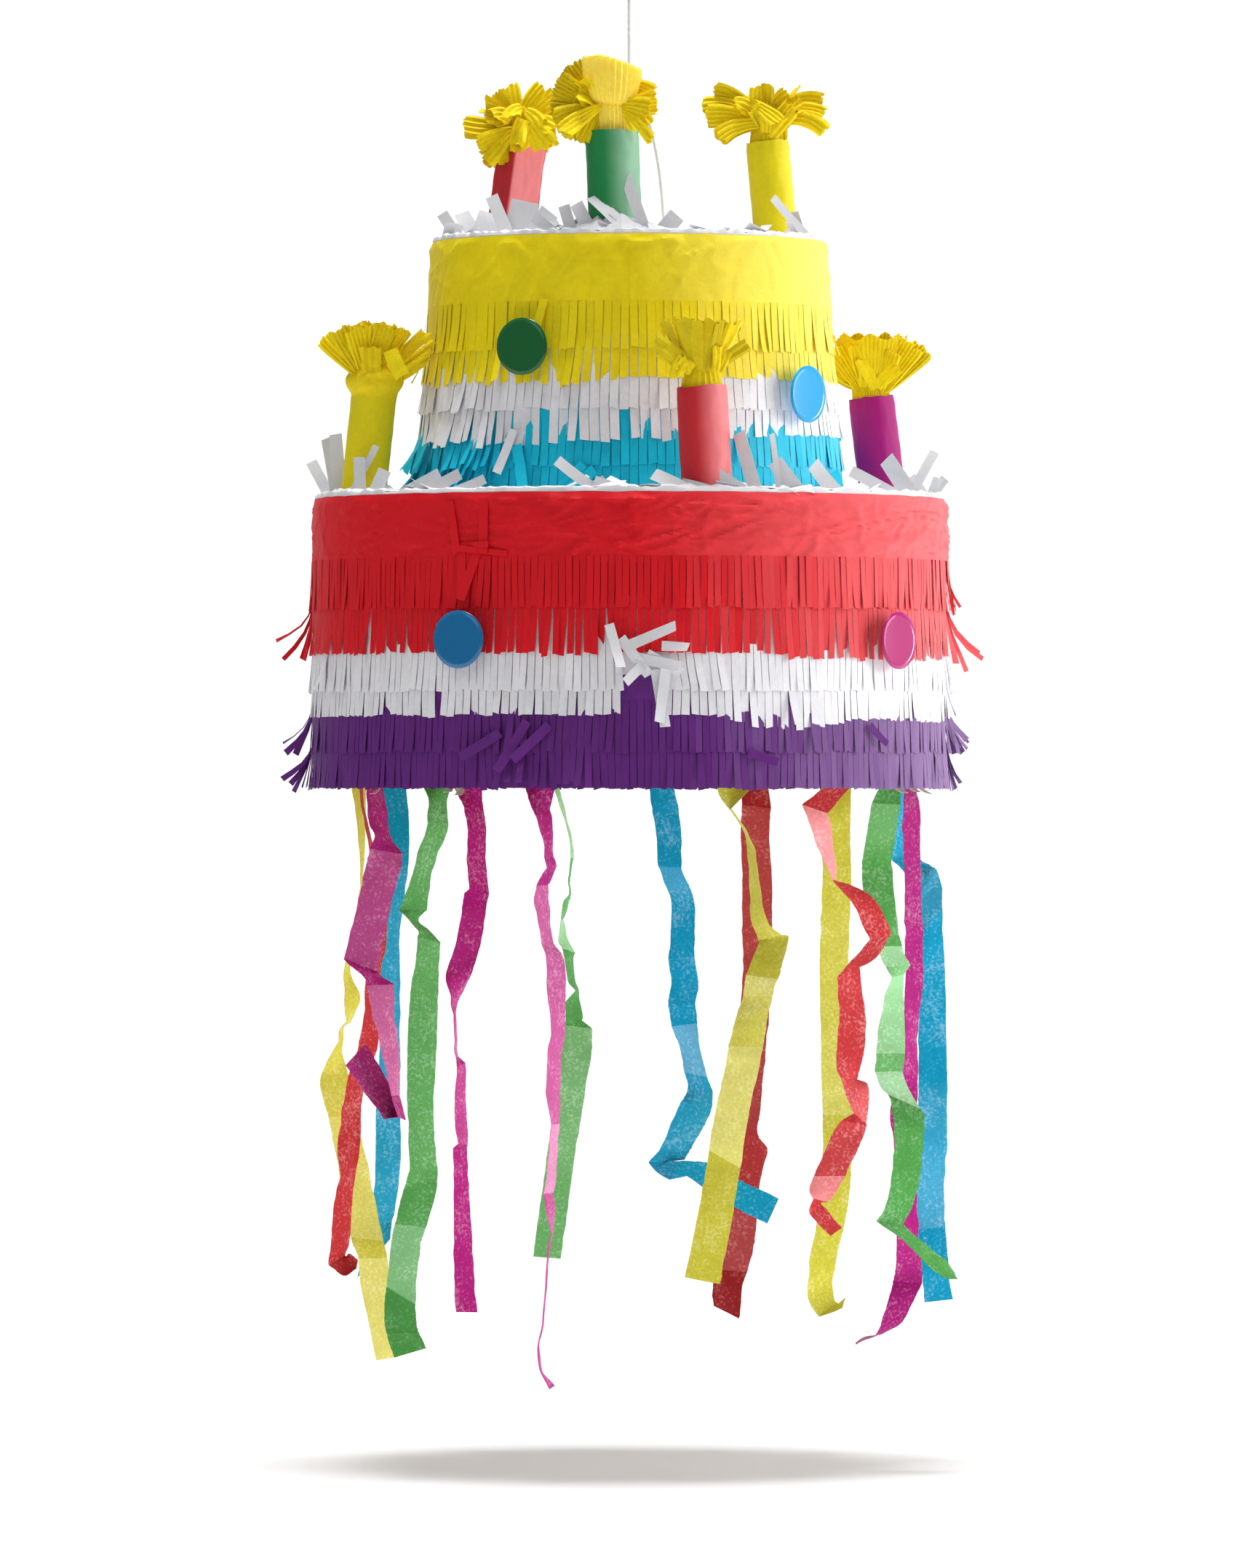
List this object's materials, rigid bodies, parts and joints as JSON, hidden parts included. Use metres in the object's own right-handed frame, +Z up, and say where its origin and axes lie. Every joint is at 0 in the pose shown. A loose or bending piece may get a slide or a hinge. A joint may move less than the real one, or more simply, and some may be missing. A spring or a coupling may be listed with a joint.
{
  "type": "hanging pinata",
  "caption": "Two-tier birthday-cake pinata of fringed tissue on a cardboard body, with paper candles, card dots, hanging streamers and a hanging cord.",
  "frame": {"origin": "top of the hanging cord's eye, where a hook takes it, on the pinata's vertical axis", "axes": "+Z up, -Y towards the front of the cake, +X to its right"},
  "size_m": [0.3434, 0.3434, 0.742],
  "materials": {
    "tissue_white": "matt crinkled tissue",
    "tissue_yellow": "matt tissue",
    "tissue_red": "matt tissue",
    "tissue_blue": "matt tissue",
    "tissue_purple": "matt tissue",
    "crepe_yellow": "matt crepe",
    "paper_blue": "satin paper",
    "paper_yellow": "satin paper",
    "paper_red": "satin paper",
    "paper_green": "satin paper",
    "paper_magenta": "satin paper",
    "tube_green": "paper-wrapped card",
    "tube_red": "paper-wrapped card",
    "tube_yellow": "paper-wrapped card",
    "tube_magenta": "paper-wrapped card",
    "tube_blue": "paper-wrapped card",
    "dot_green": "gloss-coated card",
    "dot_light_blue": "gloss-coated card",
    "dot_blue": "gloss-coated card",
    "dot_magenta": "gloss-coated card",
    "card": "plain corrugated card",
    "cotton": "twisted cotton cord"
  },
  "bodies": {
    "hook_eye": {"top_eye": "cotton"},
    "eye_bend": {"eye_knot": "cotton"},
    "cord": {"hanging_line": "cotton"},
    "pinata": {"base_disc": "card", "lower_wall": "card", "lower_deck": "card", "upper_wall": "card", "upper_deck": "card", "cord_pad": "card", "hanging_loop": "cotton", "stopper_knot": "cotton", "candle_tube_upper_front": "tube_green", "candle_flame_upper_front": "crepe_yellow", "candle_tube_upper_left": "tube_red", "candle_flame_upper_left": "crepe_yellow", "candle_tube_upper_right": "tube_yellow", "candle_flame_upper_right": "crepe_yellow", "candle_tube_lower_front": "tube_red", "candle_flame_lower_front": "crepe_yellow", "candle_tube_lower_left": "tube_yellow", "candle_flame_lower_left": "crepe_yellow", "candle_tube_lower_right": "tube_magenta", "candle_flame_lower_right": "crepe_yellow", "candle_tube_lower_back": "tube_blue", "candle_flame_lower_back": "crepe_yellow", "upper_row_1_yellow": "tissue_yellow", "upper_row_2_yellow": "tissue_yellow", "upper_row_3_white": "tissue_white", "upper_row_4_white": "tissue_white", "upper_row_5_blue": "tissue_blue", "upper_row_6_blue": "tissue_blue", "lower_row_1_red": "tissue_red", "lower_row_2_red": "tissue_red", "lower_row_3_white": "tissue_white", "lower_row_4_white": "tissue_white", "lower_row_5_purple": "tissue_purple", "lower_row_6_purple": "tissue_purple", "upper_icing": "tissue_white", "lower_icing": "tissue_white", "upper_left_dot": "dot_green", "upper_right_dot": "dot_light_blue", "lower_left_dot": "dot_blue", "lower_right_dot": "dot_magenta"},
    "flap": {"fill_flap": "card"},
    "streamer_01_blue": {"streamer_01_blue": "paper_blue"},
    "streamer_02_yellow": {"streamer_02_yellow": "paper_yellow"},
    "streamer_03_red": {"streamer_03_red": "paper_red"},
    "streamer_04_green": {"streamer_04_green": "paper_green"},
    "streamer_05_magenta": {"streamer_05_magenta": "paper_magenta"},
    "streamer_06_blue": {"streamer_06_blue": "paper_blue"},
    "streamer_07_yellow": {"streamer_07_yellow": "paper_yellow"},
    "streamer_08_red": {"streamer_08_red": "paper_red"},
    "streamer_09_green": {"streamer_09_green": "paper_green"},
    "streamer_10_magenta": {"streamer_10_magenta": "paper_magenta"},
    "streamer_11_blue": {"streamer_11_blue": "paper_blue"},
    "streamer_12_yellow": {"streamer_12_yellow": "paper_yellow"},
    "streamer_13_red": {"streamer_13_red": "paper_red"},
    "streamer_14_magenta": {"streamer_14_magenta": "paper_magenta"},
    "streamer_15_green": {"streamer_15_green": "paper_green"},
    "streamer_16_magenta": {"streamer_16_magenta": "paper_magenta"}
  },
  "joints": [
    {"name": "swing_fore_aft", "type": "hinge", "parent": "hook_eye", "child": "eye_bend", "pos_m": [0, 0, -0.019], "axis": [1, 0, 0], "range_deg": [-50, 50]},
    {"name": "swing_side", "type": "hinge", "parent": "eye_bend", "child": "cord", "pos_m": [0, 0, -0.019], "axis": [0, 1, 0], "range_deg": [-50, 50]},
    {"name": "spin", "type": "hinge", "parent": "cord", "child": "pinata", "pos_m": [0, 0, -0.0627], "axis": [0, 0, 1], "range_deg": [-180, 180]},
    {"name": "flap_hinge", "type": "hinge", "parent": "pinata", "child": "flap", "pos_m": [0, 0.0753, -0.154], "axis": [-1, 0, 0], "range_deg": [0, 110]},
    {"name": "streamer_01_blue_swing", "type": "hinge", "parent": "pinata", "child": "streamer_01_blue", "pos_m": [0.016, -0.149, -0.4368], "axis": [-0.9945, -0.1045, 0], "range_deg": [-5, 10], "stiffness_Nm_per_rad": 0.02},
    {"name": "streamer_02_yellow_swing", "type": "hinge", "parent": "pinata", "child": "streamer_02_yellow", "pos_m": [0.055, -0.139, -0.4368], "axis": [-0.9272, -0.3746, 0], "range_deg": [-5, 25], "stiffness_Nm_per_rad": 0.02},
    {"name": "streamer_03_red_swing", "type": "hinge", "parent": "pinata", "child": "streamer_03_red", "pos_m": [0.105, -0.105, -0.4368], "axis": [-0.7009, -0.7133, 0], "range_deg": [-6, 25], "stiffness_Nm_per_rad": 0.02},
    {"name": "streamer_04_green_swing", "type": "hinge", "parent": "pinata", "child": "streamer_04_green", "pos_m": [0.134, -0.061, -0.4368], "axis": [-0.4067, -0.9135, 0], "range_deg": [-6, 25], "stiffness_Nm_per_rad": 0.02},
    {"name": "streamer_05_magenta_swing", "type": "hinge", "parent": "pinata", "child": "streamer_05_magenta", "pos_m": [0.147, -0.005, -0.4368], "axis": [-0.0349, -0.9994, 0], "range_deg": [-6, 25], "stiffness_Nm_per_rad": 0.02},
    {"name": "streamer_06_blue_swing", "type": "hinge", "parent": "pinata", "child": "streamer_06_blue", "pos_m": [0.143, 0.043, -0.4368], "axis": [0.2924, -0.9563, 0], "range_deg": [-6, 25], "stiffness_Nm_per_rad": 0.02},
    {"name": "streamer_07_yellow_swing", "type": "hinge", "parent": "pinata", "child": "streamer_07_yellow", "pos_m": [0.11, 0.102, -0.4368], "axis": [0.682, -0.7314, 0], "range_deg": [-6, 25], "stiffness_Nm_per_rad": 0.02},
    {"name": "streamer_08_red_swing", "type": "hinge", "parent": "pinata", "child": "streamer_08_red", "pos_m": [0.067, 0.135, -0.4368], "axis": [0.8988, -0.4384, 0], "range_deg": [-6, 25], "stiffness_Nm_per_rad": 0.02},
    {"name": "streamer_09_green_swing", "type": "hinge", "parent": "pinata", "child": "streamer_09_green", "pos_m": [-0.039, 0.145, -0.4368], "axis": [0.9659, 0.2588, 0], "range_deg": [-6, 25], "stiffness_Nm_per_rad": 0.02},
    {"name": "streamer_10_magenta_swing", "type": "hinge", "parent": "pinata", "child": "streamer_10_magenta", "pos_m": [-0.085, 0.124, -0.4368], "axis": [0.829, 0.5592, 0], "range_deg": [-6, 25], "stiffness_Nm_per_rad": 0.02},
    {"name": "streamer_11_blue_swing", "type": "hinge", "parent": "pinata", "child": "streamer_11_blue", "pos_m": [-0.124, 0.086, -0.4368], "axis": [0.5736, 0.8192, 0], "range_deg": [-6, 25], "stiffness_Nm_per_rad": 0.02},
    {"name": "streamer_12_yellow_swing", "type": "hinge", "parent": "pinata", "child": "streamer_12_yellow", "pos_m": [-0.142, 0.05, -0.4368], "axis": [0.3338, 0.9426, 0], "range_deg": [-6, 25], "stiffness_Nm_per_rad": 0.02},
    {"name": "streamer_13_red_swing", "type": "hinge", "parent": "pinata", "child": "streamer_13_red", "pos_m": [-0.138, -0.024, -0.4368], "axis": [-0.1736, 0.9848, 0], "range_deg": [-6, 25], "stiffness_Nm_per_rad": 0.02},
    {"name": "streamer_14_magenta_swing", "type": "hinge", "parent": "pinata", "child": "streamer_14_magenta", "pos_m": [-0.131, -0.07, -0.4368], "axis": [-0.4695, 0.8829, 0], "range_deg": [-6, 25], "stiffness_Nm_per_rad": 0.02},
    {"name": "streamer_15_green_swing", "type": "hinge", "parent": "pinata", "child": "streamer_15_green", "pos_m": [-0.099, -0.111, -0.4368], "axis": [-0.7431, 0.6691, 0], "range_deg": [-6, 25], "stiffness_Nm_per_rad": 0.02},
    {"name": "streamer_16_magenta_swing", "type": "hinge", "parent": "pinata", "child": "streamer_16_magenta", "pos_m": [-0.044, -0.142, -0.4368], "axis": [-0.9511, 0.309, 0], "range_deg": [-6, 25], "stiffness_Nm_per_rad": 0.02}
  ]
}
